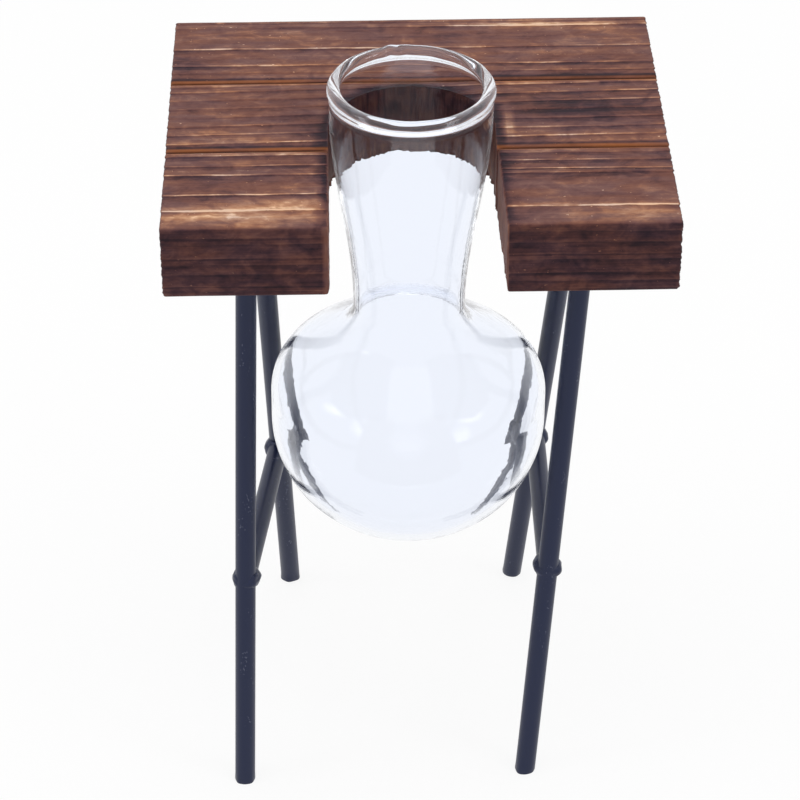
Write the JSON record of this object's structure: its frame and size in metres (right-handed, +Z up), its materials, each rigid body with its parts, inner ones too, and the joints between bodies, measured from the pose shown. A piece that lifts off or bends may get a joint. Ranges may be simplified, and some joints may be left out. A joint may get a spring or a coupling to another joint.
{
  "type": "hydroponic vase",
  "caption": "Clear glass bulb vase that hangs by its funnel neck in the open slot of a scorched plank board on a stand of black welded round-bar legs.",
  "frame": {"origin": "on the floor, under the middle of the wooden board", "axes": "+Z up, -Y to the front, where the slot is open, +X to the right seen from the front"},
  "size_m": [0.12, 0.1, 0.1859],
  "materials": {
    "clear_glass": "clear, smooth, fire-polished blown glass",
    "scorched_wood": "scorched dark brown and wire-brushed, with tan ridges of the grain, matt",
    "black_paint": "satin black paint with a blue cast"
  },
  "bodies": {
    "stand": {"back_plank": "scorched_wood", "middle_plank": "scorched_wood", "front_left_block": "scorched_wood", "front_right_block": "scorched_wood", "front_left_leg": "black_paint", "front_right_leg": "black_paint", "back_left_leg": "black_paint", "back_right_leg": "black_paint", "left_stretcher": "black_paint", "right_stretcher": "black_paint", "front_left_weld": "black_paint", "front_right_weld": "black_paint", "back_left_weld": "black_paint", "back_right_weld": "black_paint"},
    "vase": {"vase": "clear_glass"}
  },
  "joints": [
    {"name": "vase_slide", "type": "slide", "parent": "stand", "child": "vase", "axis": [-0.02, -0.857, 0.515], "range_m": [0, 0.1]}
  ]
}
